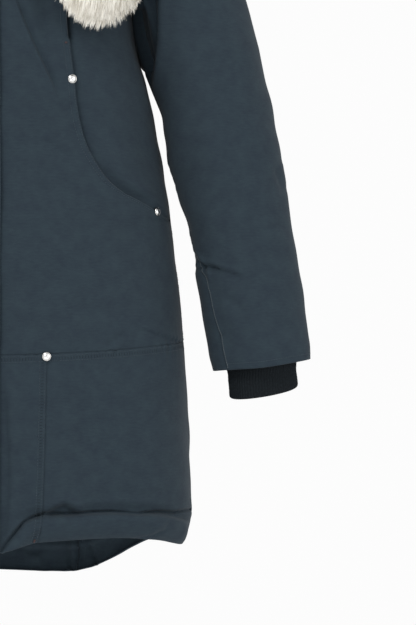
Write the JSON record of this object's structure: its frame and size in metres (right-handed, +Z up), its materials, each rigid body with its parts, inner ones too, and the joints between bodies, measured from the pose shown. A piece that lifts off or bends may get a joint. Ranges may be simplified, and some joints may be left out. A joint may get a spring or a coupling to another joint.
{
  "type": "fur trimmed parka",
  "caption": "Filled-out parka with a folded-down hood edged in fur, hand pockets, rivets, long sleeves with knit cuffs and a hem that drops at the back.",
  "frame": {"origin": "middle of the neck opening, level with the top of the shoulders, where the garment is held up", "axes": "+Z up, -Y towards the wearer's front, +X towards the wearer's left"},
  "size_m": [0.7944, 0.4359, 0.9905],
  "materials": {
    "cloth": "matt fine twill, dark slate blue",
    "fur": "long soft cream fur",
    "knit": "black rib knit",
    "metal": "polished silver rivet caps"
  },
  "bodies": {
    "root": {"front_center_left": "cloth", "front_center_right": "cloth", "front_side_left": "cloth", "front_side_right": "cloth", "front_lower_left": "cloth", "front_lower_right": "cloth", "front_skirt_left": "cloth", "front_skirt_right": "cloth", "back_upper_left": "cloth", "back_upper_right": "cloth", "back_lower_center": "cloth", "back_lower_left": "cloth", "back_lower_right": "cloth", "placket": "cloth", "sleeve_upper_left": "cloth", "sleeve_upper_right": "cloth", "sleeve_under_left": "cloth", "sleeve_under_right": "cloth", "collar": "cloth", "hood_left": "cloth", "hood_right": "cloth", "fur_ruff": "fur", "cuff_left": "knit", "cuff_right": "knit", "rivet_pocket_top_left": "metal", "rivet_pocket_top_right": "metal", "rivet_pocket_end_left": "metal", "rivet_pocket_end_right": "metal", "rivet_cross_seam_left": "metal", "rivet_cross_seam_right": "metal"}
  },
  "joints": []
}
